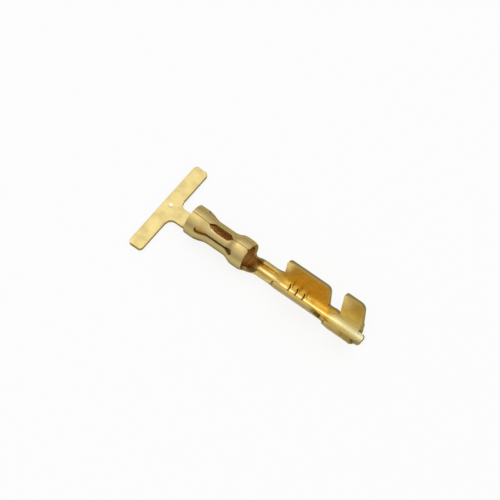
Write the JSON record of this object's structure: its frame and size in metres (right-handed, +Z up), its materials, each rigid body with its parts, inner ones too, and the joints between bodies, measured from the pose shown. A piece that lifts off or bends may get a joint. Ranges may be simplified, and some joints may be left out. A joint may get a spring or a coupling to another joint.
{
  "type": "crimp socket contact",
  "caption": "Stamped brass socket contact: rolled slotted barrel that grips a round pin, open wings that crimp a wire behind it, and a flat piece of carrier strip in front of its mouth.",
  "frame": {"origin": "centre of the socket's mouth, on the bore axis", "axes": "-X out of the mouth, the way the pin leaves; +X towards the wire crimps; +Z up, the way the crimp wings open; Y along the carrier strip"},
  "size_m": [0.0146, 0.0064, 0.002],
  "materials": {
    "plated_brass": "satin"
  },
  "bodies": {
    "root": {"socket_contact": "plated_brass"}
  },
  "joints": []
}
